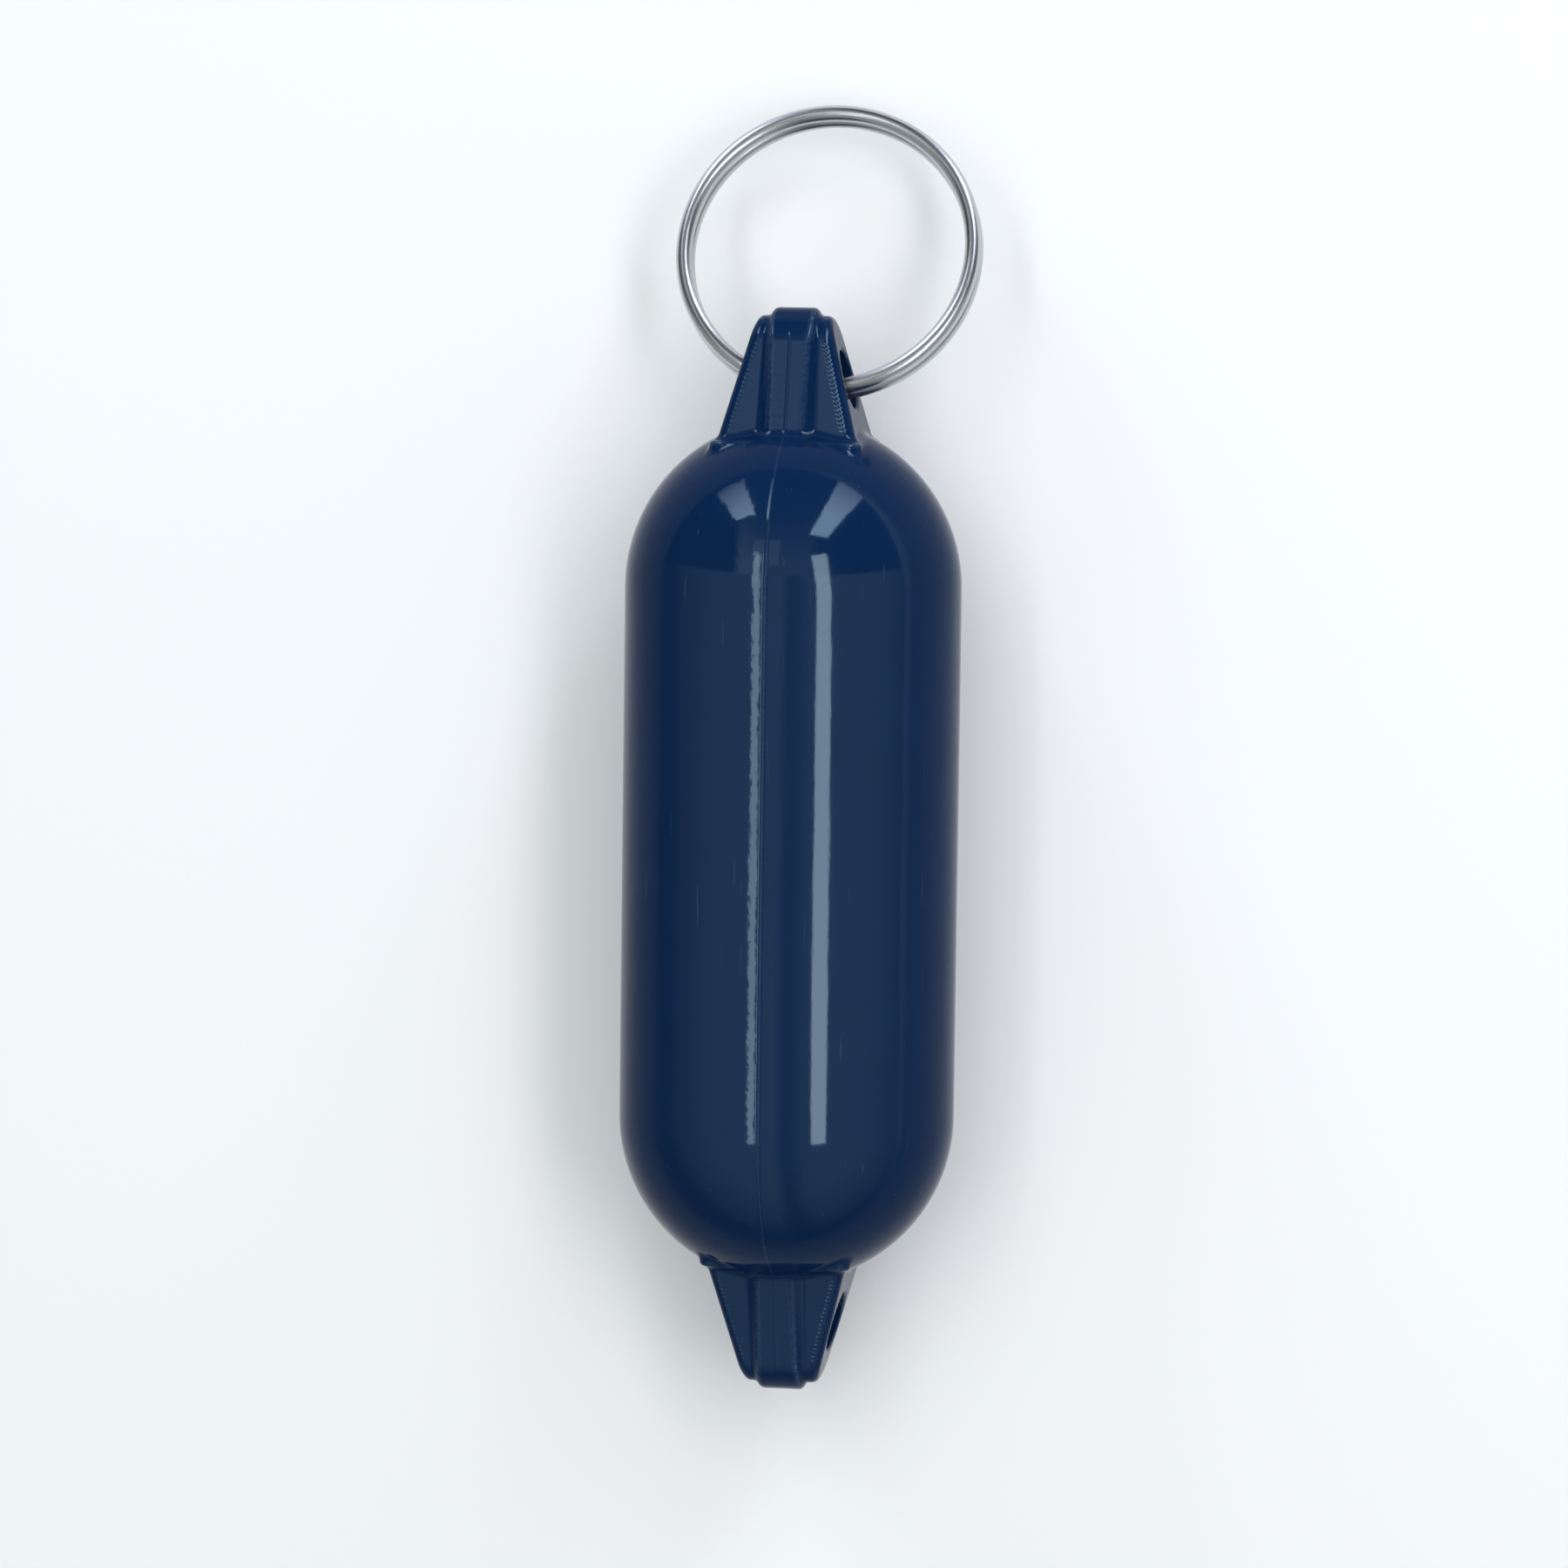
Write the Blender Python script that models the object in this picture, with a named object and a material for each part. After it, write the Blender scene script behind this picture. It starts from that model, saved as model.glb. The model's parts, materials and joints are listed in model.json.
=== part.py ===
"""A floating keychain: a moulded float with an eye at each end, and a split ring through one eye.

The float lies on its side. X runs along the holes of the two eyes, Y runs along the float
towards the ring, and Z is up. The origin is on the floor, under the middle of the float.
All lengths are in metres and all angles are in radians.
"""
import math

import bmesh
import bpy
from mathutils import Vector

# Body: a round bar with a dome on each end

BODY_DIAMETER = 0.0350
BODY_STRAIGHT = 0.0550
BODY_SIDES = 72
DOME_STEPS = 12

# Eye: a tapered lug on each dome, with rounded edges and a hole along X

EYE_HEIGHT = 0.01057
EYE_WIDTH_AT_HOLE = 0.0111
EYE_SIDE_WALL = 0.0017
EYE_END_WALL = 0.00355
EYE_DRAFT = math.radians(15.0)
EYE_END_RADIUS_X = 0.0013
EYE_END_RADIUS_Z = 0.0026
EYE_CORNER_RADIUS = 0.0010
EYE_FOOT_RADIUS = 0.0007
EYE_FOOT_SINK = 0.00003
EYE_ROOT = 0.0014
EYE_END_STEPS = 7
EYE_FOOT_STEPS = 4
EYE_CORNER_STEPS = 4
HOLE_SIDES = 48

# Rib: a flat band that runs up the front of the lug, over its end and down its back

RIB_CREST_WIDTH = 0.00356
RIB_BASE_WIDTH = 0.0059
RIB_HEIGHT = 0.00078
RIB_SINK = 0.0010
RIB_WALL_SINK = 0.00005
RIB_ROOT_DRAFT = math.radians(6.0)
RIB_HOLE_MARGIN = 0.0003
RIB_ROOT = 0.0009

# Pad: a low rectangular step under the lug, whose corners stand out of the dome

PAD_DROP = 0.0023
PAD_LEDGE_X = 0.00015
PAD_LEDGE_Z = 0.0007
PAD_DRAFT = math.radians(5.0)
PAD_CORNER_RADIUS = 0.0006
PAD_EDGE_BEVEL = 0.0002
PAD_ROOT = 0.0040

# Split ring: two turns of round wire that change places in one short crossing

RING_OUTER_DIAMETER = 0.0320
WIRE_DIAMETER = 0.0017
COIL_GAP = 0.00008
CROSSING_ARC = math.radians(36.0)
CROSSING_END_GAP = math.radians(2.5)
RING_STEPS_PER_TURN = 64
CROSSING_STEPS = 10
WIRE_SIDES = 12

# How the ring sits in the eye, and how far it leans down from the float's axis

RING_SEAT = 0.00125
RING_SIDEWAYS = 0.0025
RING_PLAY = 0.00031
RING_LEAN = math.radians(21.0)

# Sizes that follow from the ones above

body_radius = BODY_DIAMETER / 2
axis_height = body_radius * math.cos(math.pi / BODY_SIDES)
dome_top = BODY_STRAIGHT / 2 + body_radius
eye_end = dome_top + EYE_HEIGHT
foot_depth = EYE_HEIGHT + PAD_DROP

wire_radius = WIRE_DIAMETER / 2
coil_radius = RING_OUTER_DIAMETER / 2 - wire_radius
coil_offset = (WIRE_DIAMETER + COIL_GAP) / 2
ring_centre_distance = coil_radius - RING_SEAT


def mouth_half_width(hole_radius):
    """Half the length of the hole along its longest side, which faces the dome."""
    return EYE_WIDTH_AT_HOLE / 2 + hole_radius * math.tan(EYE_DRAFT)


def ring_reach(half_width):
    """How far the two coils stray from the hole's axis at a mouth, as the ring swings round."""
    across = half_width + RING_SIDEWAYS
    sag = coil_radius - math.sqrt(coil_radius**2 - across**2)
    return math.hypot(sag - RING_SEAT, coil_offset) + wire_radius


def fitted_hole_radius():
    """The radius that clears the ring; a wider hole has longer sides, so both settle together."""
    radius = 2 * WIRE_DIAMETER
    for _ in range(20):
        radius = ring_reach(mouth_half_width(radius)) + RING_PLAY
    return radius


hole_radius = fitted_hole_radius()
hole_depth = hole_radius + EYE_END_WALL
hole_place = eye_end - hole_depth


def flank_start(half_at_hole):
    """Half a side of the lug where its straight flank would reach the lug's flat end."""
    return half_at_hole - hole_depth * math.tan(EYE_DRAFT)


eye_start_x = flank_start(EYE_WIDTH_AT_HOLE / 2)
eye_start_z = flank_start(hole_radius + EYE_SIDE_WALL)
pad_half_x = eye_start_x + foot_depth * math.tan(EYE_DRAFT) + EYE_FOOT_RADIUS + PAD_LEDGE_X
pad_half_z = eye_start_z + foot_depth * math.tan(EYE_DRAFT) + EYE_FOOT_RADIUS + PAD_LEDGE_Z


def clear_scene():
    """Removes every object, so that the script can be run again."""
    for item in list(bpy.data.objects):
        bpy.data.objects.remove(item, do_unlink=True)


def linear_colour(code):
    """The linear RGBA colour of a six-digit sRGB code."""
    channels = [int(code[i:i + 2], 16) / 255 for i in (0, 2, 4)]
    linear = [c / 12.92 if c <= 0.04045 else ((c + 0.055) / 1.055) ** 2.4 for c in channels]
    return (*linear, 1.0)


def plain_material(name, code, metallic, roughness):
    """A Principled material with one colour."""
    material = bpy.data.materials.new(name)
    material.use_nodes = True
    shader = material.node_tree.nodes["Principled BSDF"]
    shader.inputs["Base Color"].default_value = linear_colour(code)
    shader.inputs["Metallic"].default_value = metallic
    shader.inputs["Roughness"].default_value = roughness
    return material


def object_from(bm, name, material=None):
    """Turns a bmesh into an object with its faces pointing out and its round sides smooth."""
    bmesh.ops.recalc_face_normals(bm, faces=bm.faces)
    mesh = bpy.data.meshes.new(name)
    bm.to_mesh(mesh)
    bm.free()
    mesh.shade_smooth()
    mesh.set_sharp_from_angle(angle=math.radians(30.0))
    if material:
        mesh.materials.append(material)
    item = bpy.data.objects.new(name, mesh)
    bpy.context.collection.objects.link(item)
    return item


def hide_tool(item):
    """Marks an object that only shapes another one."""
    item.hide_render = True
    item.display_type = "WIRE"


def cut(target, tool):
    """Cuts the tool's shape out of the target."""
    hide_tool(tool)
    modifier = target.modifiers.new(tool.name, "BOOLEAN")
    modifier.operation = "DIFFERENCE"
    modifier.solver = "EXACT"
    modifier.object = tool


def join_all(target, tools):
    """Joins the tools to the target in one step, so that no rounding adds up between them."""
    joined = bpy.data.collections.new(f"joined to {target.name}")
    bpy.context.scene.collection.children.link(joined)
    for tool in tools:
        hide_tool(tool)
        joined.objects.link(tool)
    modifier = target.modifiers.new(joined.name, "BOOLEAN")
    modifier.operation = "UNION"
    modifier.solver = "EXACT"
    modifier.operand_type = "COLLECTION"
    modifier.collection = joined


def loft(sections):
    """A closed bmesh through a row of sections, each a list with as many points as the next."""
    bm = bmesh.new()
    rings = [[bm.verts.new(point) for point in section] for section in sections]
    for first, second in zip(rings, rings[1:]):
        for i in range(len(first)):
            j = (i + 1) % len(first)
            bm.faces.new((first[i], first[j], second[j], second[i]))
    bm.faces.new(rings[0])
    bm.faces.new(rings[-1])
    bmesh.ops.triangulate(bm, faces=bm.faces)
    return bm


def rounded_rectangle(half_x, half_z, radius, steps):
    """The corner arcs of a rectangle, as (x, z) points all the way round."""
    points = []
    for corner, (sign_x, sign_z) in enumerate(((1, 1), (-1, 1), (-1, -1), (1, -1))):
        for i in range(steps + 1):
            angle = (corner + i / steps) * math.pi / 2
            x = sign_x * (half_x - radius) + radius * math.cos(angle)
            z = sign_z * (half_z - radius) + radius * math.sin(angle)
            points.append((x, z))
    return points


def section_at(side, depth, half_x, half_z, radius):
    """A rounded rectangle across the float, at a depth below the flat end of an eye."""
    outline = rounded_rectangle(half_x, half_z, radius, EYE_CORNER_STEPS)
    return [Vector((x, side * (eye_end - depth), axis_height + z)) for x, z in outline]


def arc_centre(start, radius):
    """How far from the lug's middle the arc between its flank and its flat end is centred."""
    return start + radius * math.tan(EYE_DRAFT) - radius / math.cos(EYE_DRAFT)


def lug_half(start, radius, depth):
    """Half a side of the lug at a depth: an arc at its end, a straight flank, a flared foot."""
    if depth < radius * (1 - math.sin(EYE_DRAFT)):
        return arc_centre(start, radius) + math.sqrt(radius**2 - (radius - depth) ** 2)
    into_foot = min(max(depth - foot_depth + EYE_FOOT_RADIUS, 0.0), EYE_FOOT_RADIUS)
    flare = EYE_FOOT_RADIUS - math.sqrt(EYE_FOOT_RADIUS**2 - into_foot**2)
    return start + min(depth, foot_depth) * math.tan(EYE_DRAFT) + flare


def lug_depths():
    """The depths of the lug's sections: close together at its end and its foot."""
    turn = math.pi / 2 - EYE_DRAFT
    radius = max(EYE_END_RADIUS_X, EYE_END_RADIUS_Z)
    ends = [radius * (1 - math.cos(turn * i / EYE_END_STEPS)) for i in range(EYE_END_STEPS + 1)]
    quarter = math.pi / 2 / EYE_FOOT_STEPS
    feet = [
        foot_depth - EYE_FOOT_RADIUS * (1 - math.sin(quarter * i))
        for i in range(EYE_FOOT_STEPS + 1)
    ]
    return ends + feet + [foot_depth + EYE_ROOT]


def make_lug(side):
    """The tapered lug of one eye, with its hole."""
    sections = []
    for depth in lug_depths():
        half_x = lug_half(eye_start_x, EYE_END_RADIUS_X, depth)
        half_z = lug_half(eye_start_z, EYE_END_RADIUS_Z, depth)
        radius = min(EYE_CORNER_RADIUS, 0.9 * half_x, 0.9 * half_z)
        sections.append(section_at(side, depth, half_x, half_z, radius))
    lug = object_from(loft(sections), f"lug_{side}")
    cut(lug, make_hole(side, hole_radius))
    return lug


def make_pad(side):
    """The rectangular step under one lug, with a small bevel round its top."""
    sections = []
    top = foot_depth - EYE_FOOT_SINK
    for depth, inset in (
        (top, PAD_EDGE_BEVEL),
        (top + PAD_EDGE_BEVEL, 0.0),
        (top + PAD_ROOT, -PAD_ROOT * math.tan(PAD_DRAFT)),
    ):
        half_x = pad_half_x - inset
        half_z = pad_half_z - inset
        sections.append(section_at(side, depth, half_x, half_z, PAD_CORNER_RADIUS))
    return object_from(loft(sections), f"pad_{side}")


def rib_outline(side, x, rise):
    """The side view of the lug, raised off it by a distance, from its front foot to its back."""
    centre = arc_centre(eye_start_z, EYE_END_RADIUS_Z)
    radius = EYE_END_RADIUS_Z + rise
    root = foot_depth + RIB_ROOT
    half = [(eye_start_z + root * math.tan(EYE_DRAFT) + rise / math.cos(EYE_DRAFT), root)]
    for i in range(EYE_END_STEPS + 1):
        angle = EYE_DRAFT + (math.pi / 2 - EYE_DRAFT) * i / EYE_END_STEPS
        half.append((centre + radius * math.cos(angle), EYE_END_RADIUS_Z - radius * math.sin(angle)))
    whole = half + [(-z, depth) for z, depth in reversed(half)]
    return [Vector((x, side * (eye_end - depth), axis_height + z)) for z, depth in whole]


def make_rib(side):
    """The band over one lug: sloped walls down to the lug, then straight ones that go into it."""
    base_half = RIB_BASE_WIDTH / 2
    crest_half = RIB_CREST_WIDTH / 2
    buried_half = base_half + RIB_SINK * math.tan(RIB_ROOT_DRAFT)
    sections = [
        rib_outline(side, -buried_half, -RIB_SINK),
        rib_outline(side, -base_half, -RIB_WALL_SINK),
        rib_outline(side, -crest_half, RIB_HEIGHT),
        rib_outline(side, crest_half, RIB_HEIGHT),
        rib_outline(side, base_half, -RIB_WALL_SINK),
        rib_outline(side, buried_half, -RIB_SINK),
    ]
    rib = object_from(loft(sections), f"rib_{side}")
    cut(rib, make_hole(side, hole_radius + RIB_HOLE_MARGIN))
    return rib


def make_hole(side, radius):
    """A bar that cuts one eye's hole."""
    sections = []
    for x in (-pad_half_x, pad_half_x):
        ring = []
        for i in range(HOLE_SIDES):
            angle = 2 * math.pi * i / HOLE_SIDES
            y = side * hole_place + radius * math.cos(angle)
            ring.append(Vector((x, y, axis_height + radius * math.sin(angle))))
        sections.append(ring)
    return object_from(loft(sections), f"hole_{side}")


def make_body():
    """The round body: half its side view, turned about the Y axis, with a side flat on the floor."""
    bm = bmesh.new()
    profile = []
    for side in (-1, 1):
        steps = range(DOME_STEPS + 1) if side < 0 else range(DOME_STEPS, -1, -1)
        for i in steps:
            angle = math.pi / 2 * i / DOME_STEPS
            y = side * (BODY_STRAIGHT / 2 + body_radius * math.cos(angle))
            profile.append(bm.verts.new((0.0, y, body_radius * math.sin(angle))))
    edges = [bm.edges.new(pair) for pair in zip(profile, profile[1:])]
    turn_to_flat = math.pi / BODY_SIDES
    for vertex in profile:
        height = vertex.co.z
        vertex.co.x = height * math.sin(turn_to_flat)
        vertex.co.z = height * math.cos(turn_to_flat)
    bmesh.ops.spin(
        bm, geom=profile + edges, cent=(0.0, 0.0, 0.0), axis=(0.0, 1.0, 0.0),
        angle=2 * math.pi, steps=BODY_SIDES, use_merge=True,
    )
    bmesh.ops.remove_doubles(bm, verts=bm.verts, dist=1e-6)
    bmesh.ops.translate(bm, verts=bm.verts, vec=(0.0, 0.0, axis_height))
    return bm


def make_float(material):
    """The float: the body, with a pad, a lug and a rib at each end."""
    body = object_from(make_body(), "float_body", material)
    fittings = [make(side) for side in (1, -1) for make in (make_pad, make_lug, make_rib)]
    join_all(body, fittings)
    return body


def coil_side(turn):
    """Where the wire lies across the ring, from -1 to 1, at an angle from the crossing's middle."""
    from_crossing = turn - 2 * math.pi
    if abs(from_crossing) >= CROSSING_ARC / 2:
        return math.copysign(1.0, from_crossing)
    return math.sin(math.pi * from_crossing / CROSSING_ARC)


def wire_turns():
    """The angles of the wire's sections, from one free end to the other, closer at the crossing."""
    start = CROSSING_ARC / 2 + CROSSING_END_GAP
    into_crossing = 2 * math.pi - CROSSING_ARC / 2
    plain = [start + (into_crossing - start) * i / RING_STEPS_PER_TURN for i in range(RING_STEPS_PER_TURN)]
    crossing = [into_crossing + CROSSING_ARC * i / CROSSING_STEPS for i in range(CROSSING_STEPS + 1)]
    return plain + crossing + [4 * math.pi - turn for turn in reversed(plain)]


def make_ring(material):
    """The split ring, modelled flat about its hinge axis, which is the object's own X axis."""
    to_crossing = math.atan2(-ring_centre_distance, -RING_SIDEWAYS)
    sections = []
    for turn in wire_turns():
        angle = to_crossing + turn
        outward = Vector((math.cos(angle), math.sin(angle), 0.0))
        middle = Vector((RING_SIDEWAYS, ring_centre_distance, 0.0)) + coil_radius * outward
        middle.z = coil_offset * coil_side(turn)
        section = []
        for i in range(WIRE_SIDES):
            around = 2 * math.pi * (i + 0.5) / WIRE_SIDES
            rise = Vector((0.0, 0.0, wire_radius * math.sin(around)))
            section.append(middle + wire_radius * math.cos(around) * outward + rise)
        sections.append(section)
    ring = object_from(loft(sections), "split_ring", material)
    ring.location = (0.0, hole_place, axis_height)
    ring.rotation_euler = (-RING_LEAN, 0.0, 0.0)
    return ring


def main():
    """Builds the keychain."""
    clear_scene()
    soft_pvc = plain_material("navy soft PVC", "1B3357", 0.0, 0.32)
    stainless = plain_material("stainless spring wire", "B4B8BA", 1.0, 0.22)
    make_float(soft_pvc)
    make_ring(stainless)


main()
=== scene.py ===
"""Looks of a floating keychain: a one-piece float in glossy moulded PVC, and its split ring.

Every length is in metres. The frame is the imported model: +Y runs along the float towards the ring,
+X along the holes of its two eyes, and the float lies on the floor at Z = 0.
"""

import json
import math

import bpy
import numpy as np
from bpy.props import FloatProperty, FloatVectorProperty, PointerProperty
from mathutils import Matrix, Vector

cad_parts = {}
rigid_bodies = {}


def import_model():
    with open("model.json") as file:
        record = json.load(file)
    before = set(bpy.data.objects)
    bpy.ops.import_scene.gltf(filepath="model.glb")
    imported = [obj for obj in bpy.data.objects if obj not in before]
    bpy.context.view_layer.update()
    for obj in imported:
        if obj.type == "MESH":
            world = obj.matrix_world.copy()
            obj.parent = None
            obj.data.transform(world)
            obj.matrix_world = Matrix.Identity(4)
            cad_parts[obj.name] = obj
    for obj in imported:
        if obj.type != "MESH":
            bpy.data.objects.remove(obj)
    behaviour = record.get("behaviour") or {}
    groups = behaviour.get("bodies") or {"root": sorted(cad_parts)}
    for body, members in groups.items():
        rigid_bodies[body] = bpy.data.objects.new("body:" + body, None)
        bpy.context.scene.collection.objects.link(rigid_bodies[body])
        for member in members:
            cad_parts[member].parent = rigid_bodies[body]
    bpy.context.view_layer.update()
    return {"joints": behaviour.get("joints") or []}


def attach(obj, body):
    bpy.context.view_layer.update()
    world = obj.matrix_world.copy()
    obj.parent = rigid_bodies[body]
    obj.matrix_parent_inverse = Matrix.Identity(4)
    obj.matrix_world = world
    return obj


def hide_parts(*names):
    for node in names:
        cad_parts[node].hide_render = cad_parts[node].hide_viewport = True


bl_info = {
    "name": "Floating keychain",
    "version": (1, 0, 0),
    "blender": (4, 5, 0),
    "location": "3D View > Sidebar > Keychain",
    "description": "Models a small key float with its split ring, and lights it on a pale floor",
    "category": "Add Mesh",
}

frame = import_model()
hinge = Vector(frame["joints"][0]["pos_m"])
axis_height = hinge.z

MM = 0.001

# Rows of the float's mesh from the tip of an eye to the middle of the body

CAP_ROWS = 28
FLANK_ROWS = 98
FILLET_ROWS = 9
LEDGE_ROWS = 5
PAD_WALL_ROWS = 8
DOME_ROWS = 34
BARREL_ROWS = 7
ROWS_PER_END = CAP_ROWS + FLANK_ROWS + FILLET_ROWS + LEDGE_ROWS + PAD_WALL_ROWS + DOME_ROWS + BARREL_ROWS

# Columns in a quarter of its turn: seam, rib crest, rib wall, panel, rounded corner, side

COLUMN_STEPS = (4, 8, 10, 12, 10, 14)
COLUMNS = 4 * sum(COLUMN_STEPS)

# Depths under an eye's flat end at which the rows change from one part to the next, and the
# height on the axis from which the rows of the tip fan out

CAP_DEPTH = 2.6 * MM
FLANK_DEPTH = 11.9 * MM
CAP_BASE = 50.5 * MM

# Room for the columns: the seam's half width, and the least turns up to and round the eye's corner

SEAM_REACH = 0.35 * MM
LEAST_PANEL_TURN = math.radians(3.0)
LEAST_CORNER_TURN = math.radians(5.0)

# A ray's search for the surface: its reach from the axis, and how often it is halved

SEARCH_REACH = 20.0 * MM
SEARCH_HALVINGS = 32

# Rows and columns of the ring's wire, and the rows of each rounded end

WIRE_COLUMNS = 24
WIRE_ROWS = 460
END_ROWS = 4


def linear(hex_colour):
    """A colour written as six hex digits, as the linear values that Blender's shaders take."""
    values = [int(hex_colour[i:i + 2], 16) / 255 for i in (0, 2, 4)]
    return tuple(v / 12.92 if v <= 0.04045 else ((v + 0.055) / 1.055) ** 2.4 for v in values)


# Sizes and colours that a user would change


class FloatSettings(bpy.types.PropertyGroup):
    """The one-piece PVC float."""

    body_radius: FloatProperty(
        name="Body radius", description="Radius of the round body under its seam", default=17.42 * MM,
        unit="LENGTH", precision=5)
    straight: FloatProperty(
        name="Straight part", description="Length of the body between its two domes", default=55.0 * MM,
        unit="LENGTH", precision=5)
    eye_height: FloatProperty(
        name="Eye height", description="From the dome's top to the eye's flat end", default=10.57 * MM,
        unit="LENGTH", precision=5)
    eye_half_x: FloatProperty(
        name="Eye half width", description="Half the eye's width where its flanks reach its end",
        default=3.796 * MM, unit="LENGTH", precision=5)
    eye_half_z: FloatProperty(
        name="Eye half thickness", description="Half the eye's thickness where its flanks reach its end",
        default=2.942 * MM, unit="LENGTH", precision=5)
    draft: FloatProperty(
        name="Draft", description="Taper of the eye's flanks", default=math.radians(15.0), subtype="ANGLE")
    hole_radius: FloatProperty(
        name="Hole radius", description="Radius of the hole through each eye", default=2.9958 * MM,
        unit="LENGTH", precision=5)
    rib_crest: FloatProperty(
        name="Rib crest", description="Width of the rib's flat crest", default=3.56 * MM,
        unit="LENGTH", precision=5)
    rib_base: FloatProperty(
        name="Rib base", description="Width of the rib where it meets the eye", default=5.9 * MM,
        unit="LENGTH", precision=5)
    rib_height: FloatProperty(
        name="Rib height", description="How far the rib stands out of the eye", default=0.78 * MM,
        unit="LENGTH", precision=5)
    pad_half_x: FloatProperty(
        name="Pad half width", description="Half the width of the low step under the eye",
        default=7.85 * MM, unit="LENGTH", precision=5)
    pad_half_z: FloatProperty(
        name="Pad half thickness", description="Half the thickness of the low step under the eye",
        default=7.6 * MM, unit="LENGTH", precision=5)
    pad_drop: FloatProperty(
        name="Pad drop", description="How far the step's face lies under the dome's top", default=2.3 * MM,
        unit="LENGTH", precision=5)
    seam_height: FloatProperty(
        name="Seam height", description="Height of the parting line that the mould leaves",
        default=0.055 * MM, unit="LENGTH", precision=5)
    seam_width: FloatProperty(
        name="Seam width", description="Half the width of the parting line", default=0.13 * MM,
        unit="LENGTH", precision=5)
    colour: FloatVectorProperty(
        name="PVC colour", description="The navy of the PVC itself, without its gloss",
        default=linear("082142"), size=3, min=0.0, max=1.0, subtype="COLOR")
    roughness: FloatProperty(
        name="PVC roughness", description="Roughness of the moulded surface", default=0.065,
        min=0.0, max=1.0)


class RingSettings(bpy.types.PropertyGroup):
    """The split ring's wire, wound in two turns."""

    outer_radius: FloatProperty(
        name="Outer radius", description="Outer radius of the ring", default=15.96 * MM,
        unit="LENGTH", precision=5)
    wire_radius: FloatProperty(
        name="Wire radius", description="Radius of the round wire", default=0.84 * MM,
        unit="LENGTH", precision=5)
    turn_gap: FloatProperty(
        name="Gap", description="Gap between the two turns", default=0.10 * MM, unit="LENGTH", precision=5)
    sideways: FloatProperty(
        name="Sideways", description="How far the ring's middle lies from the float's", default=2.5 * MM,
        unit="LENGTH", precision=5)
    seat: FloatProperty(
        name="Seat", description="How far the wire lies below the middle of the hole", default=1.25 * MM,
        unit="LENGTH", precision=5)
    lean: FloatProperty(
        name="Lean", description="How far the ring leans down from the float's axis",
        default=math.radians(21.0), subtype="ANGLE")
    crossing: FloatProperty(
        name="Crossing", description="Arc over which the turns change places", default=math.radians(36.0),
        subtype="ANGLE")
    end_gap: FloatProperty(
        name="End gap", description="Arc between each free end and the crossing",
        default=math.radians(2.5), subtype="ANGLE")
    end_rounding: FloatProperty(
        name="End rounding", description="Rounding of the wire's cut ends", default=0.16 * MM,
        unit="LENGTH", precision=5)
    colour: FloatVectorProperty(
        name="Steel colour", description="Colour of the drawn stainless wire", default=linear("BFC2C4"),
        size=3, min=0.0, max=1.0, subtype="COLOR")
    roughness: FloatProperty(
        name="Steel roughness", description="Roughness of the drawn wire", default=0.27, min=0.0, max=1.0)


class StageSettings(bpy.types.PropertyGroup):
    """The floor, the soft lights and the camera."""

    floor_size: FloatProperty(
        name="Floor size", description="Width of the floor", default=4.0, unit="LENGTH")
    floor_colour: FloatVectorProperty(
        name="Floor colour", description="The pale colour of the floor", default=linear("F6F7F7"),
        size=3, min=0.0, max=1.0, subtype="COLOR")
    lamp_radiance: FloatProperty(
        name="Lamp level", description="Brightness of the soft boxes' faces", default=5.0, min=0.0)
    view_width: FloatProperty(
        name="View width", description="Width that the photograph shows at the float's axis",
        default=162.75 * MM, unit="LENGTH", precision=5)
    aim_right: FloatProperty(
        name="Aim right", description="How far right of the float's middle the camera looks",
        default=-0.62 * MM, unit="LENGTH", precision=5)
    aim_up: FloatProperty(
        name="Aim up", description="How far above the float's middle the camera looks",
        default=7.0 * MM, unit="LENGTH", precision=5)
    turn_angle: FloatProperty(
        name="Camera turn", description="How far the camera looks from the eye holes' side",
        default=math.radians(9.5), subtype="ANGLE")
    rise_angle: FloatProperty(
        name="Camera rise", description="How far the camera looks from the ring's side",
        default=math.radians(5.0), subtype="ANGLE")
    roll_angle: FloatProperty(
        name="Camera roll", description="How far the picture is turned", default=math.radians(0.74),
        subtype="ANGLE")
    lens: FloatProperty(name="Lens", description="Focal length in millimetres", default=150.0)


# Small helpers


def deselect_all():
    """Leaves nothing selected, because an operator acts on all that is."""
    for thing in bpy.context.view_layer.objects:
        thing.select_set(False)


def select_only(thing):
    """Selects one object and makes it the active one."""
    deselect_all()
    thing.select_set(True)
    bpy.context.view_layer.objects.active = thing


def added(name):
    """Names the object that a primitive operator has just added, and its mesh."""
    thing = bpy.context.active_object
    thing.name = name
    thing.data.name = name
    return thing


def apply_place(thing):
    """Puts an object's turn, scale and place into its mesh."""
    select_only(thing)
    bpy.ops.object.transform_apply(location=True, rotation=True, scale=True)


def add_node(tree, kind, place, inputs=None, **settings):
    """Adds one shader node; a value that is a socket is linked, and any other is set."""
    made = tree.nodes.new(kind)
    made.location = place
    for name, value in settings.items():
        setattr(made, name, value)
    for key, value in (inputs or {}).items():
        if isinstance(value, bpy.types.NodeSocket):
            tree.links.new(value, made.inputs[key])
        else:
            made.inputs[key].default_value = value
    return made


def blank_material(name):
    """A material with an empty node tree and an output node."""
    material = bpy.data.materials.new(name)
    material.use_nodes = True
    tree = material.node_tree
    tree.nodes.clear()
    output = add_node(tree, "ShaderNodeOutputMaterial", (900, 0))
    return material, tree, output


def smooth_step(value):
    """0 below 0 and 1 above 1, with a soft start and end between."""
    value = np.clip(value, 0.0, 1.0)
    return value * value * (3 - 2 * value)


# Form of the float, as a distance that is below 0 inside


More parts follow.
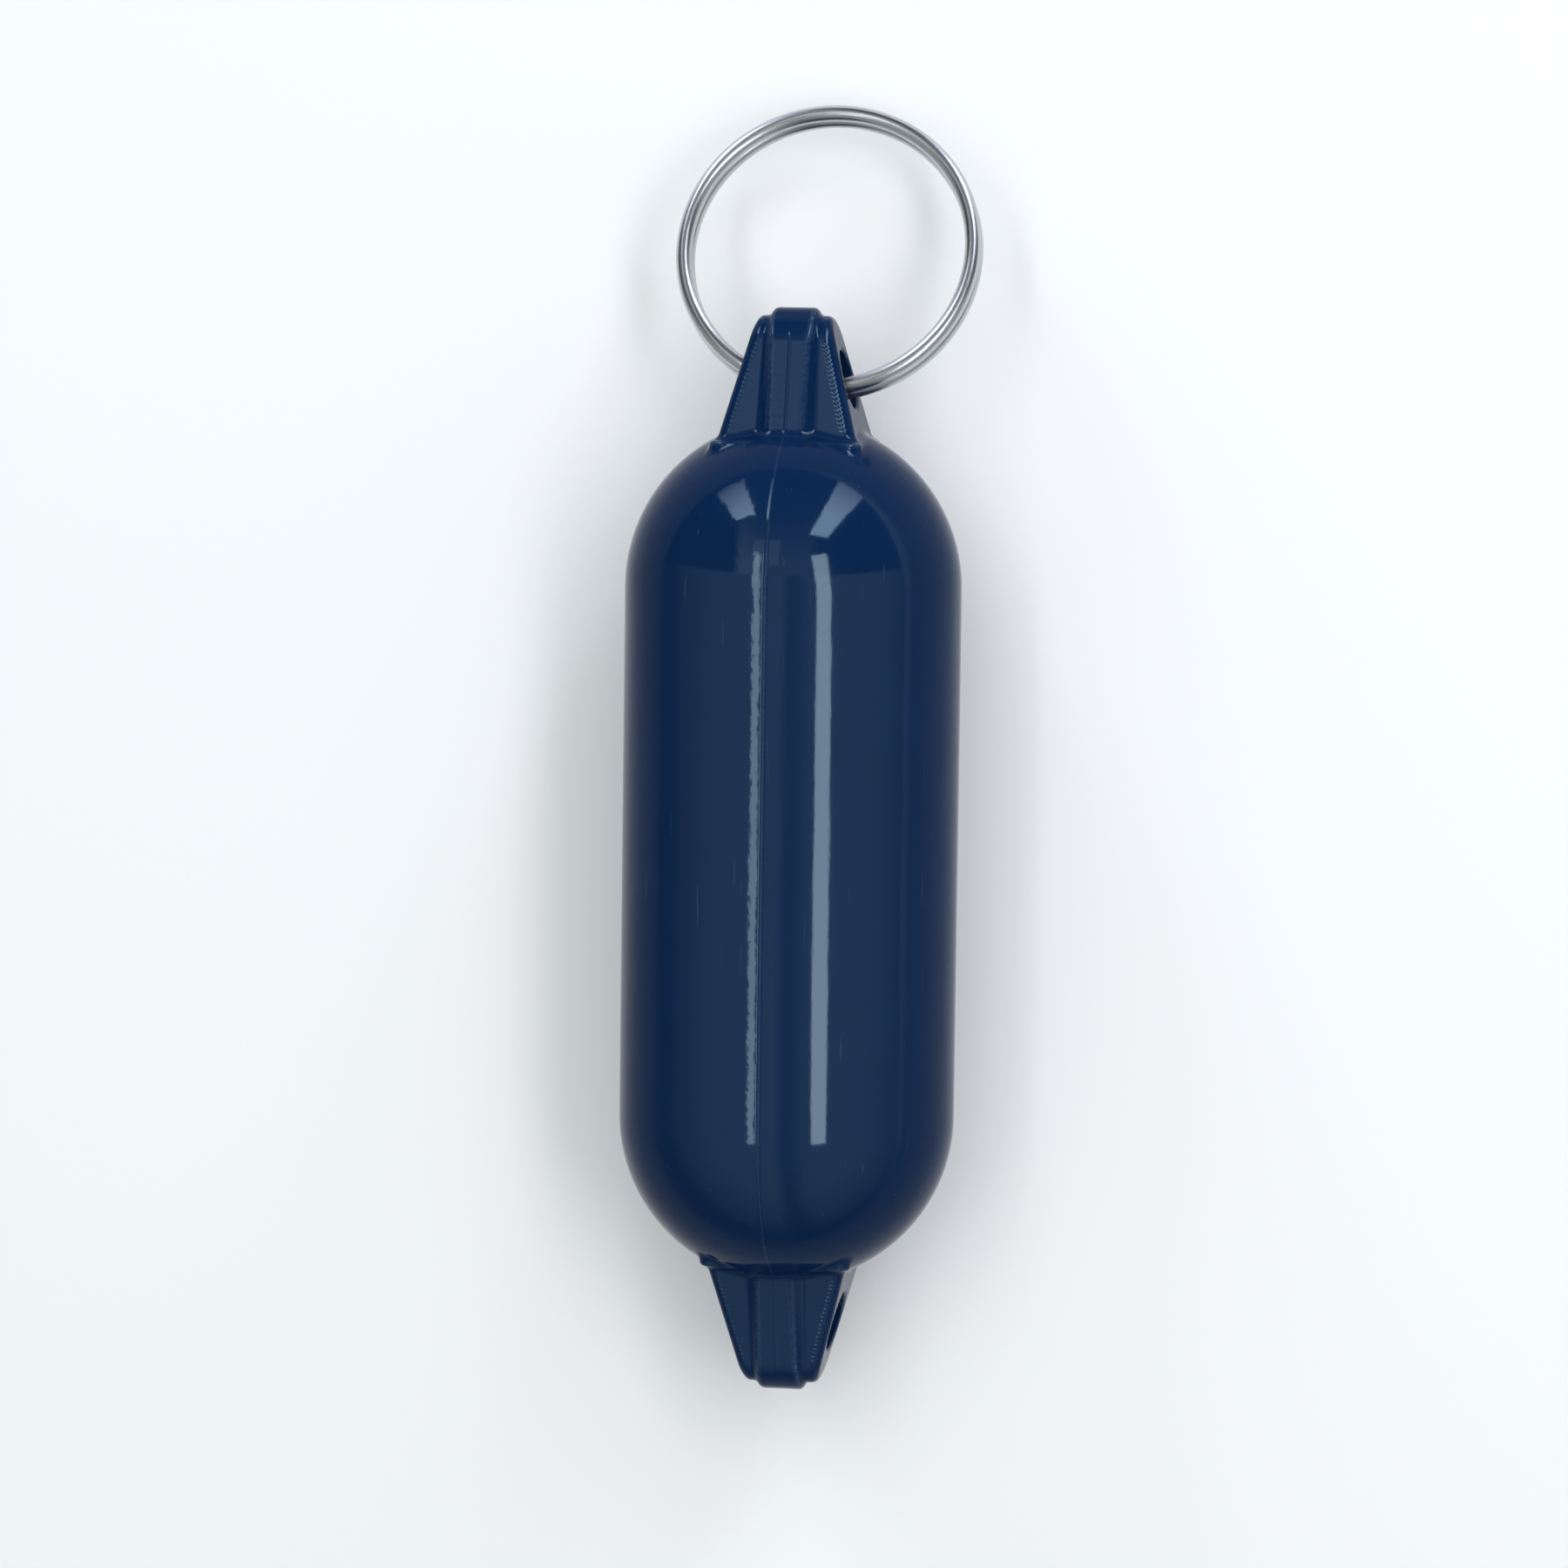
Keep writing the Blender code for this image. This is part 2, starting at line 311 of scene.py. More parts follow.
def shared(a, b, radius):
    """What two solids share, with the edge between their faces rounded."""
    corner = np.hypot(np.maximum(a + radius, 0), np.maximum(b + radius, 0))
    return np.minimum(-radius, np.maximum(a, b)) + corner


def joined(a, b, radius):
    """Two solids together, with a fillet where they meet."""
    corner = np.hypot(np.maximum(radius - a, 0), np.maximum(radius - b, 0))
    return np.maximum(radius, np.minimum(a, b)) - corner


class FloatForm:
    """The float's shape, from the same features as the moulding: body, eyes, ribs, pads and seam."""

    # The domes' radius over the seam, from which the eyes' height is measured
    DOME_RADIUS = 17.5 * MM

    # The eye's end and corners
    EDGE_ROUNDING_X = 0.6 * MM
    EDGE_ROUNDING_Z = 2.6 * MM
    CORNER_ROUNDING = 1.0 * MM
    SHOULDER_LIFT = 0.25 * MM

    # The rib: how deep its walls go on inside the eye, and how much it tapers on each side
    RIB_EDGE_ROUNDING = 0.22 * MM
    RIB_FILLET = 0.22 * MM
    RIB_ROOT = 0.3 * MM
    RIB_TAPER = 0.30 * MM

    # The pad and the foot of the eye
    PAD_CORNER_ROUNDING = 1.5 * MM
    PAD_EDGE_ROUNDING = 0.40 * MM
    PAD_DRAFT = math.radians(5.0)
    FOOT_FILLET = 0.7 * MM
    DOME_FILLET = 0.45 * MM

    # The steps down the eye's front edges: their row's place and its ends
    TOOTH_PITCH = 0.44 * MM
    TOOTH_HEIGHT = 0.09 * MM
    TOOTH_WIDTH = 0.22 * MM
    TEETH_INSET = 0.95 * MM
    TEETH_START = 1.6 * MM
    TEETH_STOP = 0.6 * MM

    # The line and the low step that the mould leaves on the rib's crest, and the ripples beside them
    CREST_LINE_HEIGHT = 0.035 * MM
    CREST_LINE_WIDTH = 0.10 * MM
    CREST_LINE_START = 0.8 * MM
    CREST_STEP = 0.02 * MM
    RIPPLE_HEIGHT = 0.005 * MM
    RIPPLE_BAND = (-1.6 * MM, -0.2 * MM)
    RIPPLE_FADE = 0.15 * MM
    RIPPLE_START = 4.5 * MM
    RIPPLE_PITCHES = (0.83 * MM, 1.37 * MM)

    # Steps and ripples are fainter on the left edges and on the back
    FAINT_SHARE = 0.4

    # The softened edge of a hole's mouth, outside and inside the hole's wall
    MOUTH_WIDTH = 0.45 * MM
    MOUTH_INSIDE = 0.15 * MM
    MOUTH_DEPTH = 0.28 * MM

    def __init__(self, sizes):
        self.sizes = sizes
        self.eye_end = sizes.straight / 2 + self.DOME_RADIUS + sizes.eye_height
        self.foot_depth = sizes.eye_height + sizes.pad_drop
        self.tip = self.eye_end + sizes.rib_height
        self.slope = math.tan(sizes.draft)
        self.upright = math.cos(sizes.draft)

    def crest_half(self, depth):
        """Half the width of the rib's crest, which narrows a little from the eye's end to its foot."""
        share = np.clip(depth / self.foot_depth, 0.0, 1.0)
        return self.sizes.rib_crest / 2 + self.RIB_TAPER * (1 - share)

    def base_half(self, depth):
        """Half the width of the rib where it meets the eye, which widens towards the eye's foot."""
        share = np.clip(depth / self.foot_depth, 0.0, 1.0)
        return self.sizes.rib_base / 2 - self.RIB_TAPER * (1 - share)

    def half_x(self, depth):
        """Half the eye's width, which its draft widens down to the foot."""
        return self.sizes.eye_half_x + self.slope * np.minimum(depth, self.foot_depth)

    def half_z(self, depth):
        """Half the eye's thickness, which its draft widens down to the foot."""
        return self.sizes.eye_half_z + self.slope * np.minimum(depth, self.foot_depth)

    def teeth(self, x, depth):
        """The row of small steps that the tool left down the front edges of each eye."""
        edge = self.half_x(depth) - self.TEETH_INSET
        wave = 0.5 - 0.5 * np.cos(2 * math.pi * depth / self.TOOTH_PITCH)
        across = np.exp(-((np.abs(x) - edge) / self.TOOTH_WIDTH) ** 2)
        above_foot = self.foot_depth - self.TEETH_STOP - depth
        along = smooth_step((depth - self.TEETH_START) / MM) * smooth_step(above_foot / MM)
        side = np.where(x > 0, 1.0, self.FAINT_SHARE)
        return self.TOOTH_HEIGHT * wave * across * along * side

    def crest_marks(self, x, z, depth):
        """The parting line on the crest of the rib, and the tool's ripples on its left half."""
        along = smooth_step((depth - self.CREST_LINE_START) / (1.5 * MM))
        line = self.CREST_LINE_HEIGHT * np.exp(-(x / self.CREST_LINE_WIDTH) ** 2)
        step = self.CREST_STEP * smooth_step(x / self.CREST_LINE_WIDTH + 0.5)
        left, right = self.RIPPLE_BAND
        window = smooth_step((right - x) / self.RIPPLE_FADE) * smooth_step((x - left) / self.RIPPLE_FADE)
        window = window * smooth_step((depth - self.RIPPLE_START) / MM)
        window = window * np.where(z > 0, 1.0, self.FAINT_SHARE)
        # The ripples' phase wanders across the crest, so that no two of them are alike
        drift = 1.1 * np.sin(x / (0.31 * MM)) + x / (0.45 * MM)
        short, long = self.RIPPLE_PITCHES
        wave = np.sin(2 * math.pi * depth / short + drift)
        wave = wave + 0.7 * np.sin(2 * math.pi * depth / long - 1.6 * drift)
        return along * (line + step) + self.RIPPLE_HEIGHT * wave * window

    def eye(self, x, y, z):
        """An eye's tapered lug with its rib, without the body."""
        sizes = self.sizes
        depth = self.eye_end - np.abs(y)
        flank_x = (np.abs(x) - self.half_x(depth)) * self.upright
        flank_z = (np.abs(z) - self.half_z(depth)) * self.upright
        side_view = shared(flank_z, -depth, self.EDGE_ROUNDING_Z)
        shoulder = -depth - self.SHOULDER_LIFT
        front_view = shared(flank_x, shoulder, self.EDGE_ROUNDING_X)
        broad_view = shared(flank_z, shoulder, self.EDGE_ROUNDING_Z) - self.teeth(x, depth)
        lug = shared(front_view, broad_view, self.CORNER_ROUNDING)
        crest = side_view - sizes.rib_height - self.crest_marks(x, z, depth)
        inward = np.maximum(side_view, -self.RIB_ROOT)
        run = (self.base_half(depth) - self.crest_half(depth)) / sizes.rib_height
        wall = (np.abs(x) - self.base_half(depth) + run * inward) / np.hypot(1, run)
        rib = shared(crest, wall, self.RIB_EDGE_ROUNDING)
        return joined(lug, rib, self.RIB_FILLET)

    def pad(self, x, y, z):
        """The low rectangular step under an eye."""
        sizes = self.sizes
        below = self.eye_end - self.foot_depth - np.abs(y)
        spread = math.tan(self.PAD_DRAFT) * np.minimum(below, sizes.pad_drop)
        wall_x = (np.abs(x) - sizes.pad_half_x - spread) * math.cos(self.PAD_DRAFT)
        wall_z = (np.abs(z) - sizes.pad_half_z - spread) * math.cos(self.PAD_DRAFT)
        return shared(shared(wall_x, wall_z, self.PAD_CORNER_ROUNDING), -below, self.PAD_EDGE_ROUNDING)

    def body(self, x, y, z):
        """The round body with the mould's parting line along its front and back."""
        sizes = self.sizes
        past = np.maximum(np.abs(y) - sizes.straight / 2, 0)
        seam = sizes.seam_height * np.exp(-(x / sizes.seam_width) ** 2)
        return np.sqrt(x * x + z * z + past * past) - sizes.body_radius - seam

    def mouths(self, y, z):
        """How far the softened edge of a hole's mouth dips."""
        from_axis = np.hypot(np.abs(y) - hinge.y, z)
        from_rim = self.sizes.hole_radius + self.MOUTH_WIDTH - from_axis
        share = np.clip(from_rim / (self.MOUTH_WIDTH + self.MOUTH_INSIDE), 0, 1)
        return self.MOUTH_DEPTH * share ** 2

    def whole(self, x, y, z):
        """The finished moulding, apart from the holes."""
        upper = joined(self.eye(x, y, z), self.pad(x, y, z), self.FOOT_FILLET)
        return joined(upper, self.body(x, y, z), self.DOME_FILLET) + self.mouths(y, z)


def surface_point(solid, angle, base, rise):
    """Where rays that leave the float's axis at a height and slope come out of a solid.

    angle turns about the axis from +Z towards +X, base is the height where the ray starts, and
    rise is its angle above the plane across the axis.
    """
    flat = np.cos(rise)
    up = np.sin(rise)
    turn_x = np.sin(angle) * flat
    turn_z = np.cos(angle) * flat
    low = np.zeros(np.broadcast(angle, base, rise).shape)
    high = np.full(low.shape, SEARCH_REACH)
    for _ in range(SEARCH_HALVINGS):
        middle = (low + high) / 2
        inside = solid(turn_x * middle, base + up * middle, turn_z * middle) < 0
        low = np.where(inside, middle, low)
        high = np.where(inside, high, middle)
    return low * turn_x, base + low * up, low * turn_z


def clustered(count):
    """Shares from 0 to 1 that are closer together at both ends."""
    return (1 - np.cos(np.pi * np.arange(1, count + 1) / count)) / 2


def column_angles(form, depth, radius):
    """The turn of each column of a row, so that columns follow the seam, the rib and the corners."""
    sizes = form.sizes
    half_x = form.half_x(depth)
    half_z = form.half_z(depth)
    crest = half_z + sizes.rib_height / form.upright
    seam_edge = math.asin(min(SEAM_REACH / radius, 0.9))
    crest_edge = math.atan2(form.crest_half(depth), crest)
    rib_foot = math.atan2(form.base_half(depth), half_z)
    corner_start = math.atan2(half_x - form.CORNER_ROUNDING, half_z)
    corner_start = max(corner_start, rib_foot + LEAST_PANEL_TURN)
    corner_end = math.atan2(half_x, half_z - form.CORNER_ROUNDING)
    corner_end = max(corner_end, corner_start + LEAST_CORNER_TURN)
    stops = [0.0, seam_edge, crest_edge, rib_foot, corner_start, corner_end, math.pi / 2]
    quarter = [0.0]
    for start, stop, count in zip(stops, stops[1:], COLUMN_STEPS):
        quarter.extend(start + (stop - start) * clustered(count))
    quarter = np.array(quarter)
    half = np.concatenate([quarter, math.pi - quarter[-2::-1]])
    return np.concatenate([half, 2 * math.pi - half[-2:0:-1]])


def float_rows(form):
    """The points of every row from the tip of one eye to the body's middle, as (row, column) arrays."""
    sizes = form.sizes
    straight_end = sizes.straight / 2
    foot_y = form.eye_end - form.foot_depth
    cap_y = form.eye_end - CAP_DEPTH
    rows = []

    def outline(solid, angles, y):
        """How far from the axis a solid's surface is, straight out at one height."""
        x, _, z = surface_point(solid, angles, np.full(angles.shape, y), np.zeros(angles.shape))
        return np.hypot(x, z)

    def add_row(angles, base, rise):
        """One row of points, where rays from the axis come out of the moulding."""
        base = np.broadcast_to(base, angles.shape)
        rise = np.broadcast_to(rise, angles.shape)
        rows.append(surface_point(form.whole, angles, base, rise))

    # The eye's tip, with rows that fan out from one point on the axis
    cap_angles = column_angles(form, CAP_DEPTH, 3.0 * MM)
    cap_outline = outline(form.eye, cap_angles, cap_y)
    for i in range(1, CAP_ROWS + 1):
        share = i / CAP_ROWS
        aim_y = form.tip - (form.tip - cap_y) * share ** 3
        add_row(cap_angles, CAP_BASE, np.arctan2(aim_y - CAP_BASE, share * cap_outline))

    # The flanks, with rows that turn level within 6 mm
    for i in range(1, FLANK_ROWS + 1):
        depth = CAP_DEPTH + (FLANK_DEPTH - CAP_DEPTH) * i / FLANK_ROWS
        angles = column_angles(form, depth, form.half_z(depth))
        y = form.eye_end - depth
        lift = (cap_y - CAP_BASE) * (1 - smooth_step((depth - CAP_DEPTH) / (6 * MM)))
        add_row(angles, y - lift, np.arctan2(lift, outline(form.eye, angles, y)))

    # The fillet at the foot and the pad's ledge, with rows that follow their outline
    foot_angles = column_angles(form, FLANK_DEPTH, 7.2 * MM)
    flank_y = form.eye_end - FLANK_DEPTH
    start = outline(form.eye, foot_angles, flank_y)
    fillet_end = outline(form.eye, foot_angles, foot_y) + form.FOOT_FILLET
    ledge_end = outline(form.pad, foot_angles, foot_y - 0.25 * MM)
    ledge_end = np.maximum(ledge_end, fillet_end + 0.05 * MM)
    foot_rows = FILLET_ROWS + LEDGE_ROWS
    for i in range(1, foot_rows + 1):
        base = flank_y + (straight_end - flank_y) * i / foot_rows
        if i <= FILLET_ROWS:
            turn = math.pi / 2 * i / FILLET_ROWS
            aim = start + (fillet_end - start) * (1 - math.cos(turn))
            aim_y = flank_y + (foot_y - flank_y) * math.sin(turn)
        else:
            share = (i - FILLET_ROWS) / LEDGE_ROWS
            aim = fillet_end + (ledge_end - fillet_end) * share
            aim_y = foot_y
        add_row(foot_angles, base, np.arctan2(aim_y - base, aim))

    # The pad's wall and the dome, with rows that fan out from the dome's middle
    wall_top = np.arctan2(foot_y - straight_end, ledge_end)
    wall_foot = np.arccos(np.minimum(0.999, (ledge_end + 0.15 * MM) / sizes.body_radius))
    wall_foot = np.minimum(wall_foot, wall_top - math.radians(0.8))
    for share in clustered(PAD_WALL_ROWS):
        add_row(foot_angles, straight_end, wall_top + (wall_foot - wall_top) * share)

    for i in range(1, DOME_ROWS + 1):
        share = (i / DOME_ROWS) ** 1.15
        rise = wall_foot * (1 - share)
        radius = max(sizes.body_radius * math.cos(float(np.mean(rise))), 7.0 * MM)
        add_row(column_angles(form, FLANK_DEPTH, radius), straight_end, rise)

    # The straight part, down to the body's middle
    barrel_angles = column_angles(form, FLANK_DEPTH, sizes.body_radius)
    for i in range(1, BARREL_ROWS + 1):
        add_row(barrel_angles, straight_end * (1 - i / (BARREL_ROWS + 1)), 0.0)
    add_row(barrel_angles, 0.0, 0.0)
    return rows


def shape_float(moulding, form):
    """Moves each point of a globe to its place on the float, row by row and column by column."""
    rows = float_rows(form)
    bands = 2 * len(rows)
    points = np.zeros(len(moulding.data.vertices) * 3)
    moulding.data.vertices.foreach_get("co", points)
    points = points.reshape(-1, 3)
    size = np.linalg.norm(points, axis=1).max()
    row = np.rint(np.arccos(np.clip(points[:, 1] / size, -1, 1)) / (math.pi / bands)).astype(int)
    turn = np.arctan2(points[:, 0], points[:, 2]) % (2 * math.pi)
    column = np.rint(turn / (2 * math.pi / COLUMNS)).astype(int) % COLUMNS
    table = np.array(rows)
    for i in range(len(points)):
        if row[i] == 0 or row[i] == bands:
            points[i] = (0.0, form.tip if row[i] == 0 else -form.tip, 0.0)
            continue
        side = 1 if row[i] <= len(rows) else -1
        place = row[i] if side > 0 else bands - row[i]
        x, y, z = table[place - 1, :, column[i]]
        points[i] = (x, side * y, z)
    points[:, 2] += axis_height
    moulding.data.vertices.foreach_set("co", points.ravel())
    moulding.data.update()


def mark_edge_wear_and_sheen(moulding, form):
    """Writes how sharply each point's surroundings bulge, for the paler outer edges, which are partly
    rubbed wear and partly a painted highlight.
    """
    points = np.zeros(len(moulding.data.vertices) * 3)
    moulding.data.vertices.foreach_get("co", points)
    x, y, z = points.reshape(-1, 3).T
    z = z - axis_height
    reach = 0.22 * MM
    least_bulge = 0.006 * MM
    bulge_span = 0.030 * MM
    around = np.zeros(len(x))
    for step_x, step_y, step_z in ((1, 0, 0), (0, 1, 0), (0, 0, 1)):
        for side in (-reach, reach):
            around += form.whole(x + side * step_x, y + side * step_y, z + side * step_z)
    bulge = around / 6 - form.whole(x, y, z)
    # Bulging edges get painted paler: partly rubbed wear, partly a painted highlight where the rounded
    # edges catch the lamps
    wear_and_sheen = smooth_step((bulge - least_bulge) / bulge_span)
    attribute = moulding.data.attributes.new("wear_and_sheen", "FLOAT", "POINT")
    attribute.data.foreach_set("value", wear_and_sheen)


def drill_holes(moulding, radius):
    """Cuts the hole through each eye along X, with one Boolean for both."""
    drills = []
    for side in (-1, 1):
        deselect_all()
        bpy.ops.mesh.primitive_cylinder_add(
            vertices=96, radius=radius, depth=30 * MM, location=(0.0, side * hinge.y, axis_height),
            rotation=(0.0, math.pi / 2, 0.0))
        drills.append(added("drill"))
    deselect_all()
    for drill in drills:
        drill.select_set(True)
    bpy.context.view_layer.objects.active = drills[0]
    bpy.ops.object.join()
    apply_place(drills[0])
    cut = moulding.modifiers.new("eye holes", "BOOLEAN")
    cut.operation = "DIFFERENCE"
    cut.solver = "EXACT"
    cut.object = drills[0]
    select_only(moulding)
    bpy.ops.object.modifier_apply(modifier=cut.name)
    bpy.data.objects.remove(drills[0])


# Materials

# Soft PVC, moulded in a polished tool. The navy is in the plastic itself, so it shows dark and even
# under a clear skin that mirrors lamps with sharp edges. Shrinkage and the mould's parting bend those
# edges into soft waves. Use leaves dust specks and hairline scratches. The outer edges are painted
# paler, partly as rubbed wear and partly as a painted highlight.

# How often each pattern of the skin repeats on a millimetre. Shrinkage waves are 3.6 mm across the
# body, the pulls beside the seam 1.3 mm, the skin's grain 0.3 mm and dull patches 6 mm, and a cell
# that can hold a speck of dust is 5 mm wide.

WAVES_PER_MM = 0.28
PULLS_PER_MM = 0.75
GRAINS_PER_MM = 3.2
PATCHES_PER_MM = 0.16
SPECKS_PER_MM = 0.20

# Real specks are about 0.05 mm wide and real hairline scratches 0.02 mm. The render's pixels are
# wider, so specks are drawn up to 0.2 mm wide and scratches 0.1 mm, so that they show. A speck's
# radii are shares of its cell. Scratches are about 9 mm long, and a few degrees off the body's axis.

SPECK_RADII = (0.012, 0.020)
SCRATCHES_PER_M = (2600.0, 110.0, 2600.0)
SCRATCH_TURN = math.radians(4.0)

# Heights of the skin's unevenness, enough to bend the mirrored edges of lamps softly

WAVE_HEIGHT = 0.022 * MM
PULL_HEIGHT = 0.020 * MM
GRAIN_HEIGHT = 0.0020 * MM

# The pulls lie in a band beside the seam on its left: its middle, and where it fades, in millimetres

PULL_BAND_X = -2.4
PULL_BAND_FADE = (1.0, 2.6)


def pvc_material(settings):
    """Glossy moulded soft PVC with its waves, specks, scratches, and outer edges painted paler, partly as
    wear and partly as a painted highlight.
    """
    material, tree, output = blank_material("navy soft PVC, moulded glossy")
    place = add_node(tree, "ShaderNodeTexCoord", (-1500, 0)).outputs["Object"]
    metres_to_mm = add_node(
        tree, "ShaderNodeMapping", (-1300, 0), {"Vector": place, "Scale": (1000.0, 1000.0, 1000.0)})
    stretched = add_node(
        tree, "ShaderNodeMapping", (-1300, -300), {"Vector": place, "Scale": (1000.0, 350.0, 1000.0)})
    waves = add_node(
        tree, "ShaderNodeTexNoise", (-1050, -300),
        {"Vector": stretched.outputs[0], "Scale": WAVES_PER_MM, "Detail": 2.0, "Roughness": 0.5})
    skin = add_node(
        tree, "ShaderNodeTexNoise", (-1050, -550),
        {"Vector": metres_to_mm.outputs[0], "Scale": GRAINS_PER_MM, "Detail": 2.0, "Roughness": 0.55})
    wave_bump = add_node(
        tree, "ShaderNodeBump", (-300, -300),
        {"Strength": 1.0, "Distance": WAVE_HEIGHT, "Height": waves.outputs["Fac"]})
    sides = add_node(tree, "ShaderNodeSeparateXYZ", (-1050, -800), {"Vector": metres_to_mm.outputs[0]})
    from_band = add_node(
        tree, "ShaderNodeMath", (-850, -800), {0: sides.outputs["X"], 1: PULL_BAND_X},
        operation="SUBTRACT")
    off_band = add_node(
        tree, "ShaderNodeMath", (-700, -800), {0: from_band.outputs[0]}, operation="ABSOLUTE")
    pull_band = add_node(
        tree, "ShaderNodeMapRange", (-550, -800),
        {"Value": off_band.outputs[0], "From Min": PULL_BAND_FADE[0], "From Max": PULL_BAND_FADE[1],
         "To Min": 1.0, "To Max": 0.08})
    pulls = add_node(
        tree, "ShaderNodeTexNoise", (-1050, -1050),
        {"Vector": metres_to_mm.outputs[0], "Scale": PULLS_PER_MM, "Detail": 2.0, "Roughness": 0.5})
    pull_height = add_node(
        tree, "ShaderNodeMath", (-300, -800), {0: pulls.outputs["Fac"], 1: pull_band.outputs[0]},
        operation="MULTIPLY")
    pull_bump = add_node(
        tree, "ShaderNodeBump", (-150, -500),
        {"Strength": 1.0, "Distance": PULL_HEIGHT, "Height": pull_height.outputs[0],
         "Normal": wave_bump.outputs[0]})
    skin_bump = add_node(
        tree, "ShaderNodeBump", (0, -300),
        {"Strength": 1.0, "Distance": GRAIN_HEIGHT, "Height": skin.outputs["Fac"],
         "Normal": pull_bump.outputs[0]})
    scuffs = add_node(
        tree, "ShaderNodeTexNoise", (-1050, 100),
        {"Vector": metres_to_mm.outputs[0], "Scale": PATCHES_PER_MM, "Detail": 6.0, "Roughness": 0.65})
    roughness = add_node(
        tree, "ShaderNodeMapRange", (-300, 100),
        {"Value": scuffs.outputs["Fac"], "From Min": 0.3, "From Max": 0.75,
         "To Min": settings.roughness * 0.85, "To Max": settings.roughness * 1.3})
    # The gloss falls where the skin is seen edge-on, so that a white floor doesn't whiten the rims
    edge_on = add_node(tree, "ShaderNodeLayerWeight", (-300, 400), {"Blend": 0.5}).outputs["Facing"]
    gloss = add_node(
        tree, "ShaderNodeMapRange", (-100, 400),
        {"Value": edge_on, "From Min": 0.12, "From Max": 0.30, "To Min": 0.5, "To Max": 0.04})
    # The paler outer edges are partly rubbed wear and partly a painted highlight of the lamps on the
    # rounded edges
    wear_and_sheen = add_node(tree, "ShaderNodeAttribute", (-1050, 700), attribute_name="wear_and_sheen").outputs["Fac"]
    wear_and_sheen_strength = add_node(
        tree, "ShaderNodeMapRange", (-500, 700),
        {"Value": skin.outputs["Fac"], "From Min": 0.35, "From Max": 0.65, "To Min": 0.04, "To Max": 0.30})
    edge_wear_and_sheen = add_node(
        tree, "ShaderNodeMath", (-300, 700), {0: wear_and_sheen, 1: wear_and_sheen_strength.outputs[0]}, operation="MULTIPLY")
    cells = add_node(
        tree, "ShaderNodeTexVoronoi", (-1050, 1000),
        {"Vector": metres_to_mm.outputs[0], "Scale": SPECKS_PER_MM})
    dots = add_node(
        tree, "ShaderNodeMapRange", (-800, 1000),
        {"Value": cells.outputs["Distance"], "From Min": SPECK_RADII[0], "From Max": SPECK_RADII[1],
         "To Min": 0.5, "To Max": 0.0})
    # Only about a quarter of the cells have a speck
    chosen = add_node(
        tree, "ShaderNodeMath", (-800, 1250), {0: cells.outputs["Color"], 1: 0.66},
        operation="GREATER_THAN")
    specks = add_node(
        tree, "ShaderNodeMath", (-500, 1000), {0: dots.outputs[0], 1: chosen.outputs[0]},
        operation="MULTIPLY")
    along = add_node(
        tree, "ShaderNodeMapping", (-1300, 1500),
        {"Vector": place, "Scale": SCRATCHES_PER_M, "Rotation": (0.0, 0.0, SCRATCH_TURN)})
    lines = add_node(
        tree, "ShaderNodeTexNoise", (-1050, 1500),
        {"Vector": along.outputs[0], "Scale": 1.0, "Detail": 1.0, "Roughness": 0.4})
    scratches = add_node(
        tree, "ShaderNodeMapRange", (-800, 1500),
        {"Value": lines.outputs["Fac"], "From Min": 0.74, "From Max": 0.82, "To Min": 0.0, "To Max": 0.10})
    marks = add_node(
        tree, "ShaderNodeMath", (-300, 1100), {0: specks.outputs[0], 1: scratches.outputs[0]},
        operation="MAXIMUM")
    marks_and_edge_sheen = add_node(
        tree, "ShaderNodeMath", (-100, 900), {0: marks.outputs[0], 1: edge_wear_and_sheen.outputs[0]},
        operation="MAXIMUM")
    tint = add_node(
        tree, "ShaderNodeMixRGB", (0, 250),
        {"Fac": scuffs.outputs["Fac"], "Color1": (*settings.colour, 1.0),
         "Color2": (*[1.25 * value + 0.0008 for value in settings.colour], 1.0)})
    # Specks and scratches take this pale blue as dust and wear; on outer edges the same pale blue is
    # partly a painted highlight
    marked = add_node(
        tree, "ShaderNodeMixRGB", (250, 250),
        {"Fac": marks_and_edge_sheen.outputs[0], "Color1": tint.outputs[0], "Color2": (*linear("6F8CA4"), 1.0)})
    shader = add_node(
        tree, "ShaderNodeBsdfPrincipled", (500, 0),
        {"Base Color": marked.outputs[0], "Roughness": roughness.outputs[0], "IOR": 1.5,
         "Specular IOR Level": gloss.outputs[0], "Specular Tint": (*linear("D1F3FF"), 1.0),
         "Normal": skin_bump.outputs[0]})
    tree.links.new(shader.outputs[0], output.inputs["Surface"])
    return material


# Stainless spring wire, drawn through a die and tumbled. It is a bright neutral grey, and the faint
# lines along it stretch each highlight along the wire. The die's lines are really a few hundredths
# of a millimetre apart. They are drawn 0.09 mm apart, 60 round the wire, so that they show, and
# about 10 mm long, 18 on the length of the two turns.

DIE_LINES = (60.0, 18.0, 1.0)
DIE_LINE_HEIGHT = 0.0004 * MM


